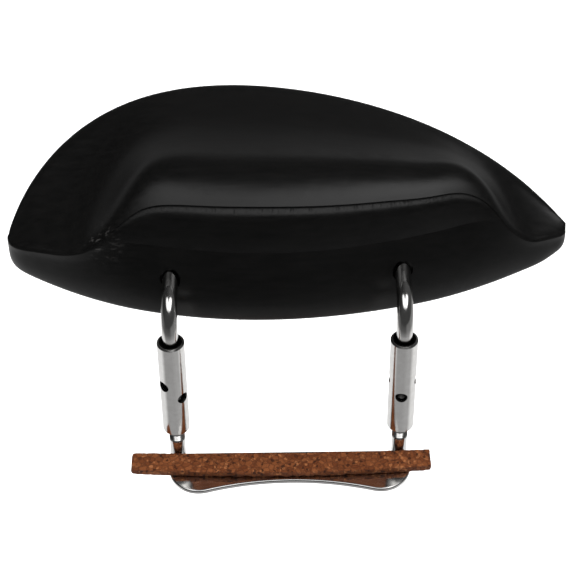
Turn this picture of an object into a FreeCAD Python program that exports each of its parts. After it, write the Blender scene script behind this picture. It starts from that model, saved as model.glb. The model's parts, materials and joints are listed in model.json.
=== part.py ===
import FreeCAD, Part
import math
import os

from FreeCAD import Placement, Rotation, Vector

# Clamp-on chin rest for a violin. The carved plate sits on the instrument's top through a cork
# strip. Two bent posts come out of its outer wall and go down into barrels, which are turnbuckle
# nuts. Two studs come up into the barrels from a hook plate with a cork pad of its own.
#
# Frame: millimetres, Z up. The origin is the centre of the seat cork's underside. Y points from the
# player's side towards the middle of the instrument, and X runs along the instrument's edge.

DIMENSIONS = {
    # carved plate, with heights above the underside of its foot
    "PlateLeftReach": 57.0,
    "PlateRightReach": 58.4,
    "PlateTipSetback": 14.7,
    "PlateBulge": 41.8,
    "FootDepthShare": 0.27,
    "LeftTipRise": 2.4,
    "RightTipRise": 5.0,
    "TipHeight": 8.6,
    "WingCrown": 8.3,
    "RidgeHeight": 27.7,
    "RidgeFall": 0.0018,
    "CreaseHeight": 15.0,
    "CreaseRise": 0.0007,
    "CreaseSetback": 4.1,
    "LipSetback": 7.3,
    "LipDrop": 3.4,
    "LipRoll": 8.0,
    "WingLipDrop": 0.5,
    "WingLipGap": 0.4,
    "WingLipRoll": 1.0,
    "WingCreaseSetback": 0.15,
    "CoveDepth": 0.5,
    "FarEdgeHeight": 18.4,
    "FarEdgeThickness": 4.5,
    "FarEdgeRoll": 3.6,
    "DishDepth": 1.2,
    "DishFullWidth": 50.0,
    "HeelRounding": 1.4,
    "LeftNoseLength": 3.5,
    "RightNoseLength": 7.0,
    "NoseSetback": 1.9,
    "NoseRise": 2.0,
    "HumpLeftStart": -44.0,
    "HumpLeftFull": -24.0,
    "HumpRightFull": 35.5,
    "HumpRightStart": 49.0,
    # seat cork
    "SeatCorkThickness": 1.8,
    "SeatCorkLength": 60.0,
    "SeatCorkFrontMargin": 2.5,
    "SeatCorkBackMargin": 1.7,
    "SeatCentre": 7.7,
    # posts
    "PostSpacing": 46.1,
    "PostShift": -0.2,
    "PostToPlate": 6.4,
    "PostDiameter": 3.2,
    "PostBendRadius": 6.2,
    "PostArmHeight": 9.4,
    "PostArmGrip": 12.0,
    "ArmHoleSlack": 0.5,
    "ArmMouthDiameter": 4.1,
    "ArmMouthDepth": 2.3,
    # barrels
    "BarrelDiameter": 5.5,
    "BarrelLength": 25.7,
    "BarrelBelowArm": 8.0,
    "BarrelBore": 3.3,
    "BarrelMouth": 4.0,
    "BarrelMouthDepth": 1.5,
    "BarrelTopChamfer": 0.25,
    "BarrelFootChamfer": 1.3,
    "BarrelFootTaper": 0.9,
    "KeyHoleDiameter": 2.5,
    "KeyHoleDepth": 12.5,
    "KeyHoleStagger": 3.3,
    # threads
    "ThreadPitch": 0.5,
    "ThreadDepth": 0.3,
    "UpperThreadLength": 9.3,
    "LowerThreadEngaged": 13.0,
    "StudPlainFoot": 5.3,
    "StudGap": 6.5,
    # hook plate and its cork
    "HookThickness": 1.1,
    "HookLobeSpacing": 37.4,
    "HookLobeRadius": 6.2,
    "HookLobeSetback": 4.9,
    "HookWaist": 8.5,
    "HookBackSetback": 0.6,
    "HookCornerRadius": 1.5,
    "HookEdgeRadius": 0.35,
    "HookCorkThickness": 1.65,
    "HookCorkLength": 62.0,
    "HookCorkDepth": 4.7,
    "HookCorkBow": 1.3,
    "HookCorkHollow": 0.5,
    "HookCorkShift": -1.8,
    "HookCorkSetback": 0.15,
}

# Exponents of the plate's two outlines, which share the ends of its length. The outer wall is a
# nearly even bow. The inner edge bulges towards the left end and runs out thinly at the right.
WALL_POWERS = (1.0, 1.19)
EDGE_POWERS = (0.515, 0.83)
SECTION_COUNT = 25
FIRST_SECTION = 0.001
LAST_SECTION = 0.985
# Shares of the length over which the underside rises to each tip.
LEFT_RISE_SHARE = 0.25
RIGHT_RISE_SHARE = 0.28
# How early the far edge comes down towards the tips: sooner at a larger power.
FAR_EDGE_POWER = 0.8
# Where along the edge the ridge is highest.
RIDGE_CROWN_X = -8.0
# A section's roundings are full where it is much wider and taller than these.
ROUNDING_WIDTH = 4
ROUNDING_HEIGHT = 8
# The most of a section's width that the lip, the far edge and the heel may take for their roundings.
LIP_ROLL_SHARE = 0.15
FAR_ROLL_SHARE = 0.3
HEEL_SHARE = 0.16
# Where the skin's points lie between the ridge and the far edge, and over the lip's rounding.
BOWL_SHARES = (0.2, 0.4, 0.6, 0.8)
LIP_SHARES = (0.3, 0.65)
BOWL_EASE = 0.35
# The recess's points, as shares of its depth and of its height.
COVE_SHARES = ((0.11, 0.25), (0.4, 0.6), (0.78, 0.86), (1.0, 0.95))

# Turn of each barrel about its axis, in degrees: where its upper key hole looks, from the player's
# side towards the right.
BARREL_TURNS = {"left": -45.0, "right": 84.0}
SIDES = {"left": -1, "right": 1}

ALONG_Y = Rotation(Vector(1, 0, 0), -90)
ELBOW_TURN = Rotation(Vector(0, -1, 0), Vector(0, 0, 1), Vector(-1, 0, 0), "ZXY")

doc = FreeCAD.newDocument("ChinRest")


def make_sheet():
    sheet = doc.addObject("Spreadsheet::Sheet", "Dimensions")
    for row, (alias, number) in enumerate(DIMENSIONS.items(), start=1):
        sheet.set(f"A{row}", alias)
        sheet.set(f"B{row}", str(number))
        sheet.setAlias(f"B{row}", alias)
    doc.recompute()
    return sheet


sheet = make_sheet()


def size(alias):
    """A driving dimension, read from the sheet."""
    return float(sheet.get(alias))


def bind(thing, expressions):
    """Ties properties of a document object to cells of the sheet."""
    for path, expression in expressions.items():
        thing.setExpression(path, expression)
    return thing


def cylinder(name, radius, height, place=None, rotation=None):
    rod = bind(doc.addObject("Part::Cylinder", name), {"Radius": radius, "Height": height})
    if rotation:
        rod.Placement = Placement(Vector(), rotation)
    return bind(rod, place or {})


def cone(name, lower, upper, height, place=None):
    piece = doc.addObject("Part::Cone", name)
    bind(piece, {"Radius1": lower, "Radius2": upper, "Height": height})
    return bind(piece, place or {})


def fuse(name, pieces):
    whole = doc.addObject("Part::MultiFuse", name)
    whole.Shapes = pieces
    return whole


def cut(name, base, tool):
    rest = doc.addObject("Part::Cut", name)
    rest.Base = base
    rest.Tool = tool
    return rest


def feature(name, shape):
    piece = doc.addObject("Part::Feature", name)
    piece.Shape = shape
    return piece


def extrude(name, outline, height):
    """A flat outline given its height upwards."""
    block = doc.addObject("Part::Extrusion", name)
    block.Base = outline
    block.DirMode = "Custom"
    block.Dir = Vector(0, 0, 1)
    block.Solid = True
    return bind(block, {"LengthFwd": height})


# ---------------------------------------------------------------- plate outlines


def skewed_arch(share, powers):
    """0 at both ends of the length and 1 at its crown, which the two powers place."""
    left, right = powers
    crown = left / (left + right)
    return (share / crown) ** left * ((1 - share) / (1 - crown)) ** right


def share_at(x):
    """How far along the plate's length x lies, from 0 at the left end to 1 at the right."""
    return (x + size("PlateLeftReach")) / (size("PlateLeftReach") + size("PlateRightReach"))


def x_at(share):
    return share * (size("PlateLeftReach") + size("PlateRightReach")) - size("PlateLeftReach")


def nose(share):
    """1 at both tips and 0 from the nose length inwards, along a quarter of an ellipse."""
    from_left = x_at(share) - x_at(FIRST_SECTION)
    from_right = x_at(LAST_SECTION) - x_at(share)
    short = max(0.0, 1 - from_left / size("LeftNoseLength"), 1 - from_right / size("RightNoseLength"))
    return 1 - math.sqrt(1 - short**2)


def wall_y(share):
    """The outer wall's foot, behind its foremost point and rounded back at the tips."""
    bow = size("PlateTipSetback") * (1 - skewed_arch(share, WALL_POWERS))
    return bow + size("NoseSetback") * nose(share)


def edge_y(share):
    """The plate's inner edge, over the instrument."""
    return size("PlateTipSetback") + size("PlateBulge") * skewed_arch(share, EDGE_POWERS)


def foot_back_y(share):
    return wall_y(share) + size("FootDepthShare") * (edge_y(share) - wall_y(share))


def ramp(value, start, full):
    """Rises smoothly from 0 at start to 1 at full."""
    part = min(1.0, max(0.0, (value - start) / (full - start)))
    return part * part * (3 - 2 * part)


def hump(x):
    """1 along the raised middle of the rim and 0 on the wings."""
    left = ramp(x, size("HumpLeftStart"), size("HumpLeftFull"))
    right = ramp(-x, -size("HumpRightStart"), -size("HumpRightFull"))
    return left * right


def bottom_z(share):
    """The underside of the wall: flat at the foot and rising to both tips."""
    left = max(0.0, 1 - share / LEFT_RISE_SHARE)
    right = max(0.0, 1 - (1 - share) / RIGHT_RISE_SHARE)
    rise = size("LeftTipRise") * left**2 + size("RightTipRise") * right**2
    return rise + size("NoseRise") * nose(share)


def rim_z(share):
    """The rim over the outer wall: low wings, and a ridge where the hump is."""
    x = x_at(share)
    wing = size("TipHeight") + size("WingCrown") * 4 * share * (1 - share)
    ridge = size("RidgeHeight") - size("RidgeFall") * (x - RIDGE_CROWN_X) ** 2
    return wing + (ridge - wing) * hump(x)


def middle_share(share):
    """1 over the plate's middle, falling to 0 at the tips."""
    return 1 - abs(2 * share - 1) ** 4


# ---------------------------------------------------------------- carved plate


def spline(points):
    curve = Part.BSplineCurve()
    curve.interpolate(points)
    return curve.toShape()


def plate_section(share):
    """The closed outline of the plate cut across its length."""
    x = x_at(share)
    raised = hump(x)
    wall = wall_y(share)
    edge = edge_y(share)
    width = edge - wall
    bottom = bottom_z(share)
    rim = rim_z(share)
    # roundings shrink with the section towards the tips
    across = width / (width + ROUNDING_WIDTH)
    upward = min(1.0, (rim - bottom) / ROUNDING_HEIGHT)

    def point(y, z):
        return Vector(x, y, z)

    def grown(small, large):
        """A size that grows from the wings to the raised middle."""
        return small + (large - small) * raised

    # the lip's rounding shrinks where the plate is narrow
    roll_share = min(1.0, LIP_ROLL_SHARE * width / size("LipRoll"))
    lip_drop = grown(size("WingLipDrop") * upward, size("LipDrop") * roll_share)
    lip_foot_z = rim - lip_drop

    # the crease rises a little to both sides under the hump and runs just below the rim on the wings
    level_z = size("CreaseHeight") + size("CreaseRise") * x**2
    crease_z = min(lip_foot_z - size("WingLipGap") * upward, level_z)
    crease = point(wall + grown(size("WingCreaseSetback") * across, size("CreaseSetback")), crease_z)

    # the lip leans back over the crease in step with its height
    cove_height = lip_foot_z - crease_z
    raised_height = size("RidgeHeight") - size("LipDrop") - size("CreaseHeight")
    lean = cove_height / raised_height
    lip_foot = point(crease.y + lean * (size("LipSetback") - size("CreaseSetback")), lip_foot_z)
    lip_roll = grown(size("WingLipRoll") * across, size("LipRoll") * roll_share)
    lip_top = point(lip_foot.y + lip_roll, rim)

    foot_back = point(foot_back_y(share), bottom)
    heel = min(size("HeelRounding") * across, HEEL_SHARE * width)
    foot_front = point(wall + heel, bottom)
    wall_bend = [
        foot_front,
        point(wall + 0.28 * heel, bottom + 0.4 * upward),
        point(wall, bottom + 1.6 * upward),
        point(wall + 0.22 * (crease.y - wall), bottom + 0.55 * (crease_z - bottom) + 0.3 * upward),
        crease,
    ]
    cove_back = lip_foot.y + lean * size("CoveDepth")
    # the recess stands nearly upright over the crease and curls in under the lip
    cove = [
        crease,
        *(
            point(crease.y + back * (cove_back - crease.y), crease_z + up * cove_height)
            for back, up in COVE_SHARES
        ),
        lip_foot,
    ]

    far_rise = size("FarEdgeHeight") - size("TipHeight")
    far_z = size("TipHeight") + far_rise * middle_share(share) ** FAR_EDGE_POWER
    thickness = size("FarEdgeThickness") * (0.75 + 0.25 * middle_share(share))
    far_roll = min(size("FarEdgeRoll") * across, FAR_ROLL_SHARE * width)
    far_top = point(edge - far_roll, far_z)
    fall = far_z - lip_top.z
    dish = size("DishDepth") * min(1.0, width / size("DishFullWidth")) ** 2
    roll = [
        point(lip_foot.y + part * lip_roll, rim - lip_drop * (1 - part) ** 2) for part in LIP_SHARES
    ]
    bowl = []
    for part in BOWL_SHARES:
        # an even slope on the wings, eased a little at both ends behind the ridge
        eased = fall * (part + BOWL_EASE * raised * part * (3 * part - 2 * part**2 - 1))
        sag = dish * math.sin(math.pi * part) ** 2
        y = lip_top.y + part * (far_top.y - lip_top.y)
        bowl.append(point(y, lip_top.z + eased - sag))
    skin = [
        lip_foot,
        *roll,
        lip_top,
        *bowl,
        far_top,
        point(edge - 0.22 * far_roll, far_z - 0.2 * thickness),
        point(edge, far_z - 0.52 * thickness),
        point(edge - 0.2 * far_roll, far_z - 0.82 * thickness),
        point(edge - 0.6 * far_roll, far_z - thickness),
    ]
    roof = far_z - thickness - upward * middle_share(share)
    under = [
        skin[-1],
        point(skin[-1].y - 0.07 * width, skin[-1].z - 0.25 * upward),
        point(edge - 0.35 * width, roof),
        point(foot_back.y + 0.14 * width, roof - 0.12 * (roof - bottom)),
        point(foot_back.y + 0.03 * width, bottom + 0.5 * (roof - bottom)),
        foot_back,
    ]
    return Part.Wire(
        [
            Part.makeLine(foot_back, foot_front),
            spline(wall_bend),
            spline(cove),
            spline(skin),
            spline(under),
        ]
    )


def section_shares():
    """Places of the sections along the length, closer together towards the tips."""
    for step in range(SECTION_COUNT):
        even = (1 - math.cos(math.pi * step / (SECTION_COUNT - 1))) / 2
        yield FIRST_SECTION + even * (LAST_SECTION - FIRST_SECTION)


def make_plate():
    sections = [
        feature(f"plate_section_{number}", plate_section(share))
        for number, share in enumerate(section_shares(), start=1)
    ]
    blank = doc.addObject("Part::Loft", "plate_blank")
    blank.Sections = sections
    blank.Solid = True
    blank.Ruled = False
    drills = []
    for side, sign in SIDES.items():
        place = {
            "Placement.Base.x": post_x(sign),
            "Placement.Base.y": "-Dimensions.PostToPlate",
            "Placement.Base.z": "Dimensions.PostArmHeight",
        }
        reach = "Dimensions.PostToPlate + Dimensions.PostArmGrip + Dimensions.ArmHoleSlack"
        drills.append(
            cylinder(f"{side}_arm_hole", "Dimensions.PostDiameter / 2", reach, place, ALONG_Y)
        )
        wall = wall_y(share_at(size("PostShift") + sign * size("PostSpacing") / 2))
        mouth = f"Dimensions.PostToPlate + {wall:.3f} + Dimensions.ArmMouthDepth"
        drills.append(
            cylinder(f"{side}_arm_mouth", "Dimensions.ArmMouthDiameter / 2", mouth, place, ALONG_Y)
        )
    plate = cut("chin_plate", blank, fuse("arm_drills", drills))
    return bind(
        plate,
        {
            "Placement.Base.y": "-Dimensions.SeatCentre",
            "Placement.Base.z": "Dimensions.SeatCorkThickness",
        },
    )


# ---------------------------------------------------------------- seat cork


def seat_cork_edges(x):
    """Front and back of the seat cork at x, in the plate's own frame."""
    share = share_at(x)
    front = wall_y(share) + size("SeatCorkFrontMargin")
    back = foot_back_y(share) - size("SeatCorkBackMargin")
    return front, back


def make_seat_cork():
    half = size("SeatCorkLength") / 2
    stations = [half * step / 3 for step in range(-3, 4)]
    front = [Vector(x, seat_cork_edges(x)[0], 0) for x in stations]
    back = [Vector(x, seat_cork_edges(x)[1], 0) for x in reversed(stations)]
    outline = Part.Wire(
        [
            spline(front),
            Part.makeLine(front[-1], back[0]),
            spline(back),
            Part.makeLine(back[-1], front[0]),
        ]
    )
    strip = feature("seat_cork_outline", Part.Face(outline))
    cork = extrude("seat_cork", strip, "Dimensions.SeatCorkThickness")
    return bind(cork, {"Placement.Base.y": "-Dimensions.SeatCentre"})


# ---------------------------------------------------------------- posts and studs


def post_x(sign):
    """Where a post, barrel and stud stand along the edge."""
    return f"Dimensions.PostShift + {sign} * Dimensions.PostSpacing / 2"


POST_LINE = "-(Dimensions.SeatCentre + Dimensions.PostToPlate)"
ARM_LEVEL = "(Dimensions.SeatCorkThickness + Dimensions.PostArmHeight)"
BARREL_TOP = f"({ARM_LEVEL} - Dimensions.BarrelBelowArm)"
BARREL_FOOT = f"({BARREL_TOP} - Dimensions.BarrelLength)"
HOOK_TOP = f"({BARREL_FOOT} - Dimensions.StudGap)"


def thread_stack(name, length):
    """A threaded end, as rings of the thread's pitch and depth, from 0 up to length."""
    crest = size("PostDiameter") / 2
    root = crest - size("ThreadDepth")
    pitch = size("ThreadPitch")
    turns = int(length / pitch)
    lead = length - turns * pitch
    points = [Vector(0, 0, 0), Vector(root - 0.1, 0, 0)]
    for turn in range(turns):
        points.append(Vector(root, 0, lead + turn * pitch))
        points.append(Vector(crest, 0, lead + (turn + 0.5) * pitch))
    points.append(Vector(root, 0, length))
    points.append(Vector(0, 0, length))
    face = Part.Face(Part.makePolygon([*points, points[0]]))
    return feature(name, face.revolve(Vector(), Vector(0, 0, 1), 360))


def make_upper_post(side, sign):
    """A bent rod: threaded foot, plain shank, round elbow and an arm that the plate holds."""
    radius = "Dimensions.PostDiameter / 2"
    thread = thread_stack(f"{side}_post_thread", size("UpperThreadLength") - size("BarrelMouthDepth"))
    bind(
        thread, {"Placement.Base.z": "-Dimensions.BarrelBelowArm - Dimensions.UpperThreadLength"}
    )
    shank = cylinder(
        f"{side}_post_shank",
        radius,
        "Dimensions.BarrelBelowArm + Dimensions.BarrelMouthDepth - Dimensions.PostBendRadius",
        {"Placement.Base.z": "-Dimensions.BarrelBelowArm - Dimensions.BarrelMouthDepth"},
    )
    elbow = doc.addObject("Part::Torus", f"{side}_post_elbow")
    elbow.Angle3 = 90
    elbow.Placement = Placement(Vector(), ELBOW_TURN)
    bind(
        elbow,
        {
            "Radius1": "Dimensions.PostBendRadius",
            "Radius2": radius,
            "Placement.Base.y": "Dimensions.PostBendRadius",
            "Placement.Base.z": "-Dimensions.PostBendRadius",
        },
    )
    arm = cylinder(
        f"{side}_post_arm",
        radius,
        "Dimensions.PostToPlate + Dimensions.PostArmGrip - Dimensions.PostBendRadius",
        {"Placement.Base.y": "Dimensions.PostBendRadius"},
        ALONG_Y,
    )
    post = fuse(f"{side}_upper_post", [thread, shank, elbow, arm])
    return bind(
        post,
        {
            "Placement.Base.x": post_x(sign),
            "Placement.Base.y": POST_LINE,
            "Placement.Base.z": ARM_LEVEL,
        },
    )


def make_lower_stud(side, sign):
    """A straight rod, threaded above a plain foot that is brazed into the hook plate's edge."""
    foot = cylinder(
        f"{side}_stud_foot", "Dimensions.PostDiameter / 2", "Dimensions.StudPlainFoot"
    )
    whole = size("HookThickness") + size("StudGap") + size("LowerThreadEngaged")
    thread = thread_stack(f"{side}_stud_thread", whole - size("StudPlainFoot"))
    bind(thread, {"Placement.Base.z": "Dimensions.StudPlainFoot"})
    stud = fuse(f"{side}_lower_stud", [foot, thread])
    return bind(
        stud,
        {
            "Placement.Base.x": post_x(sign),
            "Placement.Base.y": POST_LINE,
            "Placement.Base.z": f"{HOOK_TOP} - Dimensions.HookThickness",
        },
    )


# ---------------------------------------------------------------- barrels


def make_barrel(side, sign):
    """A turnbuckle nut: bored through, open-mouthed on top, with two crossed key holes."""
    outer = "Dimensions.BarrelDiameter / 2"
    foot = cone(
        f"{side}_barrel_foot",
        f"{outer} - Dimensions.BarrelFootTaper",
        outer,
        "Dimensions.BarrelFootChamfer",
    )
    body = cylinder(
        f"{side}_barrel_body",
        outer,
        "Dimensions.BarrelLength - Dimensions.BarrelFootChamfer - Dimensions.BarrelTopChamfer",
        {"Placement.Base.z": "Dimensions.BarrelFootChamfer"},
    )
    top = cone(
        f"{side}_barrel_top",
        outer,
        f"{outer} - Dimensions.BarrelTopChamfer",
        "Dimensions.BarrelTopChamfer",
        {"Placement.Base.z": "Dimensions.BarrelLength - Dimensions.BarrelTopChamfer"},
    )
    bore = cylinder(f"{side}_barrel_bore", "Dimensions.BarrelBore / 2", "Dimensions.BarrelLength")
    mouth = cylinder(
        f"{side}_barrel_mouth",
        "Dimensions.BarrelMouth / 2",
        "Dimensions.BarrelMouthDepth",
        {"Placement.Base.z": "Dimensions.BarrelLength - Dimensions.BarrelMouthDepth"},
    )
    middle = "Dimensions.BarrelLength - Dimensions.KeyHoleDepth"
    holes = []
    for level, lift, direction in (("upper", 1, "Y"), ("lower", -1, "X")):
        rotation = ALONG_Y if direction == "Y" else Rotation(Vector(0, 1, 0), 90)
        axis = direction.lower()
        place = {
            f"Placement.Base.{axis}": "-Dimensions.BarrelDiameter",
            "Placement.Base.z": f"{middle} + {lift} * Dimensions.KeyHoleStagger / 2",
        }
        holes.append(
            cylinder(
                f"{side}_{level}_key_hole",
                "Dimensions.KeyHoleDiameter / 2",
                "2 * Dimensions.BarrelDiameter",
                place,
                rotation,
            )
        )
    solid = fuse(f"{side}_barrel_blank", [foot, body, top])
    hollow = fuse(f"{side}_barrel_hollow", [bore, mouth, *holes])
    barrel = cut(f"{side}_barrel", solid, hollow)
    barrel.Placement = Placement(Vector(), Rotation(Vector(0, 0, 1), BARREL_TURNS[side]))
    return bind(
        barrel,
        {
            "Placement.Base.x": post_x(sign),
            "Placement.Base.y": POST_LINE,
            "Placement.Base.z": BARREL_FOOT,
        },
    )


# ---------------------------------------------------------------- hook plate and its cork


def hook_outline():
    """Two round lobes joined by a shallow waist in front, and a straight back edge at the studs."""
    lobe_x = size("HookLobeSpacing") / 2
    lobe_y = -size("HookLobeSetback")
    lobe = size("HookLobeRadius")
    waist_y = -size("HookWaist")
    back_y = -size("HookBackSetback")
    corner = size("HookCornerRadius")
    end_x = lobe_x + lobe
    rise = lobe_y - waist_y
    # the waist's arc touches both lobes from outside
    waist = (lobe_x**2 + rise**2 - lobe**2) / (2 * (lobe - rise))
    centre_y = waist_y - waist
    reach = math.hypot(lobe_x, lobe_y - centre_y)
    touch = Vector(lobe_x * waist / reach, centre_y + (lobe_y - centre_y) * waist / reach, 0)
    lean = math.radians(45)

    def mirror(point):
        return Vector(-point.x, point.y, 0)

    def arc(first, middle, last):
        return Part.Arc(first, middle, last).toShape()

    start = Vector(end_x, lobe_y, 0)
    outward = Vector(lobe_x + lobe * math.sin(lean), lobe_y - lobe * math.cos(lean), 0)
    side_top = Vector(end_x, back_y - corner, 0)
    bend_inset = corner * (1 - math.cos(lean))
    bend = Vector(end_x - bend_inset, back_y - bend_inset, 0)
    back = Vector(end_x - corner, back_y, 0)
    border = [
        Part.makeLine(back, mirror(back)),
        arc(mirror(back), mirror(bend), mirror(side_top)),
        Part.makeLine(mirror(side_top), mirror(start)),
        arc(mirror(start), mirror(outward), mirror(touch)),
        arc(mirror(touch), Vector(0, waist_y, 0), touch),
        arc(touch, outward, start),
        Part.makeLine(start, side_top),
        arc(side_top, bend, back),
    ]
    return Part.Face(Part.Wire(border))


def make_hook_plate():
    blank = extrude("hook_blank", feature("hook_outline", hook_outline()), "Dimensions.HookThickness")
    doc.recompute()
    rounded = doc.addObject("Part::Fillet", "hook_rounded")
    rounded.Base = blank
    radius = size("HookEdgeRadius")
    flat = [
        number
        for number, edge in enumerate(blank.Shape.Edges, start=1)
        if edge.BoundBox.ZLength < 1e-6
    ]
    rounded.Edges = [(number, radius, radius) for number in flat]
    notches = fuse(
        "stud_notches",
        [
            cylinder(
                f"{side}_stud_notch",
                "Dimensions.PostDiameter / 2",
                "Dimensions.HookThickness",
                {"Placement.Base.x": post_x(sign)},
            )
            for side, sign in SIDES.items()
        ],
    )
    hook = cut("hook_plate", rounded, notches)
    return bind(
        hook,
        {
            "Placement.Base.y": POST_LINE,
            "Placement.Base.z": f"{HOOK_TOP} - Dimensions.HookThickness",
        },
    )


def make_hook_cork():
    half = size("HookCorkLength") / 2
    front_y = -size("HookCorkDepth")
    corners = [Vector(-half, 0, 0), Vector(-half, front_y, 0), Vector(half, front_y, 0), Vector(half, 0, 0)]
    bow = Vector(0, front_y - size("HookCorkBow"), 0)
    hollow = Vector(0, -size("HookCorkHollow"), 0)
    outline = Part.Wire(
        [
            Part.makeLine(corners[0], corners[1]),
            Part.Arc(corners[1], bow, corners[2]).toShape(),
            Part.makeLine(corners[2], corners[3]),
            Part.Arc(corners[3], hollow, corners[0]).toShape(),
        ]
    )
    cork = extrude(
        "hook_cork", feature("hook_cork_outline", Part.Face(outline)), "Dimensions.HookCorkThickness"
    )
    return bind(
        cork,
        {
            "Placement.Base.x": "Dimensions.HookCorkShift",
            "Placement.Base.y": f"{POST_LINE} - Dimensions.PostDiameter / 2 - Dimensions.HookCorkSetback",
            "Placement.Base.z": HOOK_TOP,
        },
    )


# ---------------------------------------------------------------- build, check and write


def main():
    pieces = [make_plate(), make_seat_cork(), make_hook_plate(), make_hook_cork()]
    for side, sign in SIDES.items():
        pieces += [
            make_upper_post(side, sign),
            make_barrel(side, sign),
            make_lower_stud(side, sign),
        ]
    doc.recompute()
    for thing in doc.Objects:
        if {"Invalid", "Error"} & set(thing.State):
            raise RuntimeError(f"{thing.Label} failed: {thing.State}")
    os.makedirs("parts", exist_ok=True)
    for piece in pieces:
        shape = piece.Shape
        if shape.isNull() or not shape.isValid():
            raise RuntimeError(f"{piece.Label} has no valid shape")
        shape.exportStep(f"parts/{piece.Label}.step")
        print(f"{piece.Label}: {len(shape.Solids)} solid, {shape.Volume:.1f} mm3")


main()
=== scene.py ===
import json
import math

import bmesh
import bpy
from mathutils import Matrix, Vector, noise


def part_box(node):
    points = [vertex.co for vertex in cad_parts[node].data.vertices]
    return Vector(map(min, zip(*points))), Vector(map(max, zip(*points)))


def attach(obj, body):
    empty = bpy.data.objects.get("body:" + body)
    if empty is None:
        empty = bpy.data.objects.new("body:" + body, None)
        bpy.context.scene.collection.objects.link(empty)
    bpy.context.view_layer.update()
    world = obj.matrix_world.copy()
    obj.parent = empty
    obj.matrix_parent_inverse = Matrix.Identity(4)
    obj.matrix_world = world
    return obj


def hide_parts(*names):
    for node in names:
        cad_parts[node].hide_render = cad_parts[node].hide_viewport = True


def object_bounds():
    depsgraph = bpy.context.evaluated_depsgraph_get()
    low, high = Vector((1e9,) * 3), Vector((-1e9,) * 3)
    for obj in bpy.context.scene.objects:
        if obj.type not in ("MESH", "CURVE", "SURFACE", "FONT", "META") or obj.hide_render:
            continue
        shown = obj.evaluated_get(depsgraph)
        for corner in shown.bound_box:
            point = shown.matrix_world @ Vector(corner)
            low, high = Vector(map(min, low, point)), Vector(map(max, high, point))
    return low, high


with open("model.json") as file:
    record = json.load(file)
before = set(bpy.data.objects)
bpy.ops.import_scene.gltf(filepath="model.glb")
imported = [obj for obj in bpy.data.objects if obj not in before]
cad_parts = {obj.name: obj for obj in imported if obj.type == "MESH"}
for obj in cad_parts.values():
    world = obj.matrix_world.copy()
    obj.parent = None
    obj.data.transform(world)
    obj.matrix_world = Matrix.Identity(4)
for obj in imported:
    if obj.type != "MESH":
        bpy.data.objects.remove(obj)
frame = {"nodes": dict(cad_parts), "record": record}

CAD_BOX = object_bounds()
NODES = frame["nodes"]
MM = 0.001


# ---------------------------------------------------------------- node helpers


class Nodes:
    """Short calls for the nodes that the finishes and the studio share."""

    def __init__(self, tree):
        self.tree = tree

    def node(self, kind, inputs=(), **settings):
        made = self.tree.nodes.new(kind)
        for key, value in settings.items():
            setattr(made, key, value)
        for key, value in dict(inputs).items():
            self.feed(made.inputs[key], value)
        return made

    def feed(self, socket, value):
        if isinstance(value, bpy.types.NodeSocket):
            self.tree.links.new(value, socket)
        else:
            socket.default_value = value

    def math(self, operation, a, b=0.0):
        made = self.node("ShaderNodeMath", {0: a, 1: b}, operation=operation)
        return made.outputs[0]

    def vector(self, operation, a, b=(0.0, 0.0, 0.0)):
        made = self.node("ShaderNodeVectorMath", {0: a, 1: b}, operation=operation)
        return made.outputs["Value" if operation in ("LENGTH", "DISTANCE") else "Vector"]

    def span(self, value, low, high, to_low=0.0, to_high=1.0):
        """value moved from the span low..high to the span to_low..to_high, and held there."""
        inputs = {
            "Value": value,
            "From Min": low,
            "From Max": high,
            "To Min": to_low,
            "To Max": to_high,
        }
        return self.node("ShaderNodeMapRange", inputs).outputs["Result"]

    def mix(self, share, a, b, blend="MIX"):
        made = self.node(
            "ShaderNodeMix", data_type="RGBA", blend_type=blend, clamp_factor=False
        )
        for number, value in ((0, share), (6, a), (7, b)):
            self.feed(made.inputs[number], value)
        return made.outputs[2]


class Shader(Nodes):
    """One material, with its textures placed in the part's frame."""

    def __init__(self, name):
        self.material = bpy.data.materials.new(name)
        self.material.use_nodes = True
        super().__init__(self.material.node_tree)
        self.surface = self.tree.nodes["Principled BSDF"]
        self.place = self.node("ShaderNodeTexCoord").outputs["Object"]

    def set(self, **inputs):
        """Sets sockets of the surface: base_color for "Base Color", and so on."""
        for key, value in inputs.items():
            self.feed(self.surface.inputs[key.replace("_", " ").title()], value)

    def scaled(self, factors):
        """The point's place in the part's frame, stretched along each axis."""
        return self.node("ShaderNodeMapping", {"Vector": self.place, "Scale": factors}).outputs[0]

    def noise(self, scale, detail=3.0, roughness=0.5, at=None):
        inputs = {
            "Vector": at or self.place,
            "Scale": scale,
            "Detail": detail,
            "Roughness": roughness,
        }
        return self.node("ShaderNodeTexNoise", inputs).outputs["Fac"]

    def cells(self, scale, feature="F1", output="Distance", randomness=1.0, at=None):
        inputs = {"Vector": at or self.place, "Scale": scale, "Randomness": randomness}
        return self.node("ShaderNodeTexVoronoi", inputs, feature=feature).outputs[output]

    def bump(self, height, distance, strength=1.0, normal=None):
        inputs = {"Height": height, "Distance": distance, "Strength": strength}
        if normal:
            inputs["Normal"] = normal
        return self.node("ShaderNodeBump", inputs).outputs["Normal"]


def rgb(red, green, blue):
    return (red, green, blue, 1.0)


# ---------------------------------------------------------------- finishes

# Where the lip's left end is scuffed, between which distances the scuffs fade, and how strong.
WORN_PLACE = (-0.037, -0.001, 0.0175)
WORN_SPAN = (1.5 * MM, 5.5 * MM)
WORN_STRENGTH = 0.8
EBONY_DARK = rgb(0.0014, 0.0014, 0.0014)
EBONY_LIGHT = rgb(0.003, 0.0029, 0.0028)
EBONY_PORE = rgb(0.001, 0.001, 0.001)
EBONY_WORN = rgb(0.03, 0.029, 0.028)
EBONY_SPECULAR = 0.38
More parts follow.
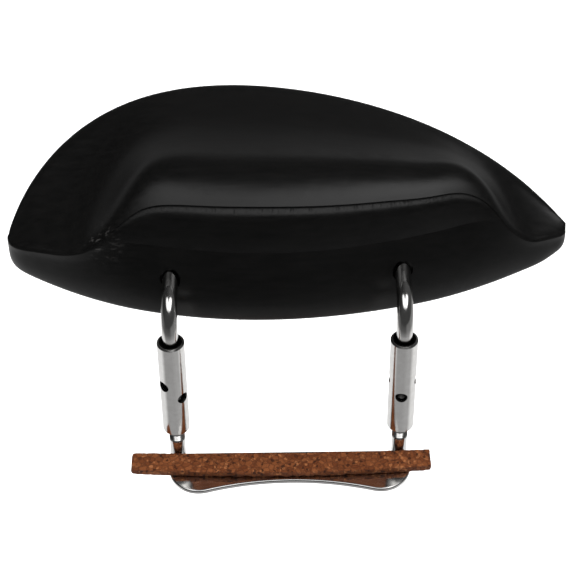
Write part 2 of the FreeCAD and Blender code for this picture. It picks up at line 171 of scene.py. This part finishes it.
# Places are squeezed along the plate, so that the grain and the scuffs run that way.
GRAIN_STRETCH = (0.09, 1.0, 1.0)
STREAK_STRETCH = (0.25, 1.0, 0.6)


def ebony():
    """Black wood, dyed and rubbed to a satin gloss, with a faint grain along the plate."""
    wood = Shader("ebony")
    along = wood.scaled(GRAIN_STRETCH)
    grain = wood.noise(1400, detail=6, roughness=0.6, at=along)
    pores = wood.span(wood.noise(2600, detail=2, at=along), 0.62, 0.75)
    cloud = wood.noise(55, detail=3)
    tone = wood.mix(wood.span(grain, 0.35, 0.7), EBONY_DARK, EBONY_LIGHT)
    tone = wood.mix(pores, tone, EBONY_PORE)
    scratches = wood.noise(2200, detail=2, at=wood.scaled(STREAK_STRETCH))
    away = wood.vector("DISTANCE", wood.place, WORN_PLACE)
    near = wood.span(away, *WORN_SPAN, WORN_STRENGTH, 0.0)
    worn = wood.math("MULTIPLY", wood.span(scratches, 0.58, 0.7), near)
    wood.set(base_color=wood.mix(worn, tone, EBONY_WORN))
    rubbed = wood.span(cloud, 0.3, 0.7, 0.3, 0.36)
    wood.set(roughness=wood.math("ADD", rubbed, wood.span(grain, 0.3, 0.7, -0.015, 0.02)))
    wood.surface.inputs["Specular IOR Level"].default_value = EBONY_SPECULAR
    ripple = wood.bump(wood.noise(160, detail=2), 0.00003, 0.2)
    wood.set(normal=wood.bump(wood.math("SUBTRACT", grain, pores), 0.000008, 0.25, ripple))
    return wood.material


NICKEL_DARK = rgb(0.73, 0.72, 0.705)
NICKEL_LIGHT = rgb(0.8, 0.792, 0.78)
NICKEL_SPECK = rgb(0.5, 0.49, 0.48)
# Painted shade inside the barrels: a near-black tone, with more roughness, on the bores, the holes
# and the rods within.
SHADE_INSIDE_DARK = rgb(0.008, 0.008, 0.008)
SHADE_INSIDE_LIGHT = rgb(0.03, 0.028, 0.026)
SHADE_INSIDE_ROUGHNESS = 0.55
# How much of a rod's thread inside a barrel the painted shade covers.
THREAD_SHADE = 0.8
# The distance over which the painted shade fades along a rod, and through a barrel's skin.
THREAD_FADE = 0.5 * MM
SKIN_FADE = 0.3 * MM
# A barrel's bore and holes get painted shade further in from its axis than this.
BARREL_SKIN = 2.55 * MM


def bore_painted_shade(metal, axis):
    """Painted shade: 1 in a barrel's holes and bore and 0 on its skin."""
    offset = metal.vector("SUBTRACT", metal.place, axis)
    radius = metal.vector("LENGTH", metal.vector("MULTIPLY", offset, (1, 1, 0)))
    return metal.span(radius, BARREL_SKIN - SKIN_FADE, BARREL_SKIN, 1.0, 0.0)


def thread_painted_shade(metal, low, high):
    """Painted shade on the rods between two heights, inside a barrel, and 0 above and below."""
    z = metal.node("ShaderNodeSeparateXYZ", {0: metal.place}).outputs["Z"]
    under = metal.span(z, high, high + THREAD_FADE, THREAD_SHADE, 0.0)
    return metal.math("MULTIPLY", metal.span(z, low - THREAD_FADE, low), under)


def nickel(name, turned, painted_shade_where, *place):
    """Polished nickel plating over turned metal: fine rings round the axis and a slight haze.

    The function given third says where painted shade darkens it inside the barrels and makes it
    rougher, from the place given.
    """
    metal = Shader(name)
    rings = metal.noise(900, detail=4, roughness=0.7, at=metal.scaled((0.05, 0.05, turned)))
    haze = metal.noise(650, detail=3)
    specks = metal.span(metal.cells(1500), 0.0, 0.16, 1.0, 0.0)
    tone = metal.mix(metal.span(haze, 0.35, 0.7), NICKEL_DARK, NICKEL_LIGHT)
    tone = metal.mix(metal.math("MULTIPLY", specks, 0.25), tone, NICKEL_SPECK)
    polish = metal.span(haze, 0.3, 0.75, 0.08, 0.17)
    inside = painted_shade_where(metal, *place)
    # painted shade: near-black where the barrels' bores and holes and the rods inside them lie in
    # shade
    tone = metal.mix(inside, tone, metal.mix(haze, SHADE_INSIDE_DARK, SHADE_INSIDE_LIGHT))
    dull = metal.math("MULTIPLY", inside, SHADE_INSIDE_ROUGHNESS)
    polish = metal.math("MAXIMUM", polish, dull)
    metal.set(base_color=tone, metallic=1.0, roughness=polish)
    metal.set(normal=metal.bump(rings, 0.000012, 0.5, metal.bump(haze, 0.00002, 0.3)))
    return metal.material


CORK_DARK = rgb(0.094, 0.026, 0.0078)
CORK_LIGHT = rgb(0.18, 0.058, 0.019)
CORK_GRIME = rgb(0.053, 0.0145, 0.0046)
CORK_PALE = rgb(0.26, 0.1, 0.038)
CORK_FLECK = rgb(0.023, 0.008, 0.004)
CORK_CREVICE = rgb(0.034, 0.011, 0.005)
CORK_SPECULAR = 0.3
# Cells to the metre, and how far they wander.
GRANULE_CELLS = 880
FLECK_CELLS = 1900
WOBBLE = (0.45 * MM, 0.45 * MM, 0.45 * MM)
# Which flecks are dark and sunk.
DARK_FLECKS = (0.09, 0.04)


def cork():
    """Pressed cork: reddish-brown granules, pale grains, dark flecks and open pores."""
    bark = Shader("cork")
    wobble = bark.node("ShaderNodeTexNoise", {"Vector": bark.place, "Scale": 1600.0, "Detail": 2.0})
    place = bark.vector("ADD", bark.place, bark.vector("MULTIPLY", wobble.outputs["Color"], WOBBLE))
    granule = bark.cells(GRANULE_CELLS, output="Color", at=place)
    own = bark.node("ShaderNodeSeparateColor", {"Color": granule}).outputs[0]
    seam = bark.cells(GRANULE_CELLS, feature="DISTANCE_TO_EDGE", at=place)
    fleck = bark.cells(FLECK_CELLS, output="Color", at=place)
    fleck_own = bark.node("ShaderNodeSeparateColor", {"Color": fleck}).outputs[1]
    fine = bark.noise(4200, detail=4, roughness=0.65)
    base = bark.mix(own, CORK_DARK, CORK_LIGHT)
    grain = bark.mix(bark.span(fine, 0.3, 0.72), bark.mix(0.45, base, CORK_GRIME), base)
    pale = bark.mix(bark.span(fleck_own, 0.9, 0.96, 0.0, 0.75), grain, CORK_PALE)
    dark = bark.mix(bark.span(fleck_own, *DARK_FLECKS, 0.0, 0.85), pale, CORK_FLECK)
    crevice = bark.span(seam, 0.0, 0.09, 0.62, 0.0)
    bark.set(base_color=bark.mix(crevice, dark, CORK_CREVICE))
    bark.set(roughness=bark.span(fine, 0.3, 0.7, 0.72, 0.95))
    bark.surface.inputs["Specular IOR Level"].default_value = CORK_SPECULAR
    height = bark.math("ADD", bark.span(seam, 0.0, 0.14), bark.math("MULTIPLY", fine, 0.8))
    sunk = bark.math("SUBTRACT", height, bark.span(fleck_own, *DARK_FLECKS, 0.0, 0.9))
    bark.set(normal=bark.bump(sunk, 0.00013, 0.9))
    return bark.material


def paper():
    """The floor: matt pale paper with a barely uneven surface."""
    sheet = Shader("floor_paper")
    fibre = sheet.noise(90, detail=3)
    tone = sheet.mix(fibre, rgb(0.93, 0.93, 0.93), rgb(0.95, 0.95, 0.95))
    sheet.set(base_color=tone, roughness=0.9)
    return sheet.material


# ---------------------------------------------------------------- cork pieces

CORK_VOXEL = 0.24 * MM
# Sizes of the granules, of the roughness over them and of the chips along the edges.
GRANULE = 1.15 * MM
ROUGHNESS_SIZE = 0.55 * MM
CHIP_SIZE = 1.7 * MM
# How wide a seam between granules is, as a share of a granule.
SEAM_WIDTH = 0.28
# How far from an edge it still chips, and how readily.
CHIP_REACH = 0.75 * MM
CHIP_BIAS = 0.12
SEAM_DEPTH = 0.05 * MM
ROUGHNESS_DEPTH = 0.035 * MM
CHIP_DEPTH = 0.6 * MM


def crumbled(place, low, high):
    """How far the cork is worn in at a place: pits between granules and chips at the edges."""
    cell = noise.voronoi(place / GRANULE, distance_metric="DISTANCE")[0]
    seam = max(0.0, 1 - (cell[1] - cell[0]) / SEAM_WIDTH)
    rough = noise.fractal(place / ROUGHNESS_SIZE, 0.8, 2.0, 3)
    # an edge is near where the box's second nearest face is near
    inside = sorted(min(place[i] - low[i], high[i] - place[i]) for i in range(3))
    near_edge = max(0.0, 1 - inside[1] / CHIP_REACH)
    chip = max(0.0, noise.noise(place / CHIP_SIZE) + CHIP_BIAS) * near_edge
    return SEAM_DEPTH * seam + ROUGHNESS_DEPTH * max(0.0, rough) + CHIP_DEPTH * chip


def make_cork(node, name):
    """A cork piece with its CAD solid's outline, its faces pitted and its edges crumbled."""
    mesh = NODES[node].data.copy()
    mesh.materials.clear()
    piece = bpy.data.objects.new(name, mesh)
    bpy.context.scene.collection.objects.link(piece)
    remesh = piece.modifiers.new("remesh", "REMESH")
    remesh.mode = "VOXEL"
    remesh.voxel_size = CORK_VOXEL
    depsgraph = bpy.context.evaluated_depsgraph_get()
    evaluated = piece.evaluated_get(depsgraph)
    piece.data = bpy.data.meshes.new_from_object(evaluated, depsgraph=depsgraph)
    piece.modifiers.clear()
    low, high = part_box(node)
    grown = bmesh.new()
    grown.from_mesh(piece.data)
    axes = {f"use_axis_{axis}": True for axis in "xyz"}
    bmesh.ops.smooth_vert(grown, verts=grown.verts, factor=0.5, **axes)
    grown.normal_update()
    moved = [v.co - v.normal * crumbled(v.co, low, high) for v in grown.verts]
    for vertex, place in zip(grown.verts, moved):
        vertex.co = place
    for face in grown.faces:
        face.smooth = True
    grown.to_mesh(piece.data)
    grown.free()
    piece.data.name = name
    piece.data.materials.append(CORK)
    return piece


# ---------------------------------------------------------------- object

EBONY = ebony()
CORK = cork()
# How closely a lathe's rings follow each other along a rod and along a barrel.
ROD_RINGS = 1.0
BARREL_RINGS = 1.6
# The rods' painted shade starts this far above a barrel's foot and ends this far below its top.
SHADE_START_ABOVE_FOOT = 2 * MM
SHADE_END_BELOW_TOP = 3 * MM


def rod_finish():
    low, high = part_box("left_barrel")
    heights = (low.z + SHADE_START_ABOVE_FOOT, high.z - SHADE_END_BELOW_TOP)
    return nickel("nickel_on_steel", ROD_RINGS, thread_painted_shade, *heights)


def barrel_finish(node):
    low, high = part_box(node)
    return nickel(f"nickel_on_{node}", BARREL_RINGS, bore_painted_shade, (low + high) / 2)


SLOT_FINISHES = {"ebony": EBONY, "cork": CORK, "plated_steel": rod_finish()}


def finish_nodes():
    """Gives each CAD node that stays shown the finish of its slot in the record."""
    for part in frame["record"]["subparts"]:
        node = NODES[part["node"]]
        slot = part["material_slot"]
        node.data.materials.clear()
        node.data.materials.append(SLOT_FINISHES.get(slot) or barrel_finish(part["node"]))


def add_corks():
    for node, body in (("seat_cork", "plate"), ("hook_cork", "hook")):
        piece = make_cork(node, f"{node}_granulated")
        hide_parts(node)
        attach(piece, body)


finish_nodes()
add_corks()


# ---------------------------------------------------------------- floor, light and camera

FLOOR_DROP = 0.3
FLOOR_HALF = 4.0
CAMERA_TARGET = Vector((0.007, -14.1, 17.274)) * MM
CAMERA_DISTANCE = 342.29 * MM
CAMERA_AZIMUTH = -0.251
CAMERA_ELEVATION = 43.222
CAMERA_ROLL = -0.562
CAMERA_LENS = 111.75

# What the object mirrors: grey levels of the flags above and in front of it and of the table below.
# Places run from 0 to 1, from left to right for the flags and from the horizon down for the table.
FLAG_IN_FRONT = 0.05
FLAG_ACROSS = ((0.3, 0.026), (0.62, 0.075))
# Where the front's levels start and are full, and where the table gives way to the flags.
FLAG_SPAN = (0.1, 0.55)
HORIZON_SPAN = (-0.04, 0.04)
TABLE_IN_FRONT = ((0.0, 0.05), (0.45, 0.12), (0.58, 0.2), (0.7, 0.36), (0.95, 0.44))
TABLE_AROUND = ((0.0, 0.14), (0.42, 0.17), (0.66, 0.9), (1.0, 0.8))
# The table is paler to the right: by how much, and where that starts and is full.
TABLE_GLOW = 0.12
TABLE_GLOW_SPAN = (0.05, 0.45)
# The soft light overhead in front: its level across the view, and where it starts and ends upwards.
OVERHEAD_POWER = 3.0
OVERHEAD_ACROSS = ((0.18, 0.1), (0.31, 0.62), (0.45, 0.42), (0.57, 0.5), (0.69, 0.95), (0.85, 0.2))
OVERHEAD_LOW = (0.7, 0.8)
OVERHEAD_HIGH = (0.965, 0.995)
OVERHEAD_FORWARD = (-0.2, 0.1)
# The lamp that lights the floor and the cork: place, width and height in metres, and watts.
LAMP_PLACE = (0.0, 0.0, 2.5)
LAMP_SIZE = (5.0, 5.0)
LAMP_POWER = 260.0


def add_floor():
    mesh = bpy.data.meshes.new("floor")
    grid = bmesh.new()
    bmesh.ops.create_grid(grid, x_segments=8, y_segments=8, size=FLOOR_HALF)
    grid.to_mesh(mesh)
    grid.free()
    mesh.materials.append(paper())
    floor = bpy.data.objects.new("floor", mesh)
    floor.location.z = CAD_BOX[0].z - FLOOR_DROP
    floor.visible_glossy = False
    bpy.context.scene.collection.objects.link(floor)


def add_softbox(name, place, width, height, power):
    """A rectangular softbox aimed at the object, which doesn't mirror it."""
    light = bpy.data.lights.new(name, "AREA")
    light.shape = "RECTANGLE"
    light.size = width
    light.size_y = height
    light.energy = power
    lamp = bpy.data.objects.new(name, light)
    lamp.location = place
    lamp.rotation_euler = (CAMERA_TARGET - Vector(place)).to_track_quat("-Z", "Y").to_euler()
    lamp.visible_camera = False
    lamp.visible_glossy = False
    bpy.context.scene.collection.objects.link(lamp)


def ramp(nodes, place, stops):
    """Grey levels at places from 0 to 1, running evenly from one to the next."""
    made = nodes.node("ShaderNodeValToRGB", {"Fac": place})
    elements = made.color_ramp.elements
    while len(elements) < len(stops):
        elements.new(1.0)
    for element, (position, level) in zip(elements, stops):
        element.position = position
        element.color = rgb(level, level, level)
    return made.outputs["Color"]


def add_studio():
    """White to the eye. The object mirrors dark flags, a soft overhead light and a pale table."""
    world = bpy.data.worlds.new("studio")
    world.use_nodes = True
    bpy.context.scene.world = world
    nodes = Nodes(world.node_tree)
    towards = nodes.node("ShaderNodeTexCoord").outputs["Generated"]
    split = nodes.node("ShaderNodeSeparateXYZ", {0: towards})
    height = split.outputs["Z"]
    squared = nodes.math("MULTIPLY", height, height)
    level = nodes.math("SQRT", nodes.math("SUBTRACT", 1.0001, squared))
    forward = nodes.math("DIVIDE", nodes.math("MULTIPLY", split.outputs["Y"], -1.0), level)
    in_front = nodes.span(forward, *FLAG_SPAN)
    depth = nodes.math("MULTIPLY", height, -1.0)
    around = ramp(nodes, depth, TABLE_AROUND)
    table = nodes.mix(in_front, around, ramp(nodes, depth, TABLE_IN_FRONT))
    glow = nodes.span(split.outputs["X"], *TABLE_GLOW_SPAN, 0.0, TABLE_GLOW)
    table = nodes.mix(glow, table, rgb(1.0, 1.0, 1.0))
    above = nodes.span(height, *HORIZON_SPAN)
    across = nodes.math("MULTIPLY_ADD", split.outputs["X"], 0.5)
    across.node.inputs[2].default_value = 0.5
    front_flag = rgb(FLAG_IN_FRONT, FLAG_IN_FRONT, FLAG_IN_FRONT)
    flags = nodes.mix(in_front, ramp(nodes, across, FLAG_ACROSS), front_flag)
    low = nodes.span(height, *OVERHEAD_LOW)
    high = nodes.span(height, *OVERHEAD_HIGH, 1.0, 0.0)
    front_half = nodes.span(forward, *OVERHEAD_FORWARD)
    window = nodes.math("MULTIPLY", nodes.math("MULTIPLY", low, high), front_half)
    overhead = nodes.math("MULTIPLY", window, OVERHEAD_POWER)
    lit = nodes.mix(overhead, rgb(0.0, 0.0, 0.0), ramp(nodes, across, OVERHEAD_ACROSS))
    mirrored = nodes.mix(1.0, nodes.mix(above, table, flags), lit, blend="ADD")
    seen = nodes.node("ShaderNodeLightPath").outputs["Is Camera Ray"]
    background = world.node_tree.nodes["Background"]
    nodes.feed(background.inputs["Color"], nodes.mix(seen, mirrored, rgb(1.0, 1.0, 1.0)))


def add_camera():
    """A long lens above the player's side, level but for a small roll."""
    azimuth, elevation, roll = map(math.radians, (CAMERA_AZIMUTH, CAMERA_ELEVATION, CAMERA_ROLL))
    back = Vector(
        (
            math.sin(azimuth) * math.cos(elevation),
            -math.cos(azimuth) * math.cos(elevation),
            math.sin(elevation),
        )
    )
    camera = bpy.data.objects.new("camera", bpy.data.cameras.new("camera"))
    camera.data.lens = CAMERA_LENS
    camera.data.clip_start = 0.01
    camera.matrix_world = (
        Matrix.Translation(CAMERA_TARGET + back * CAMERA_DISTANCE)
        @ back.to_track_quat("Z", "Y").to_matrix().to_4x4()
        @ Matrix.Rotation(roll, 4, "Z")
    )
    bpy.context.scene.collection.objects.link(camera)
    bpy.context.scene.camera = camera


add_floor()
add_studio()
add_softbox("table_light", LAMP_PLACE, *LAMP_SIZE, LAMP_POWER)
add_camera()
bpy.context.scene.view_settings.view_transform = "Standard"
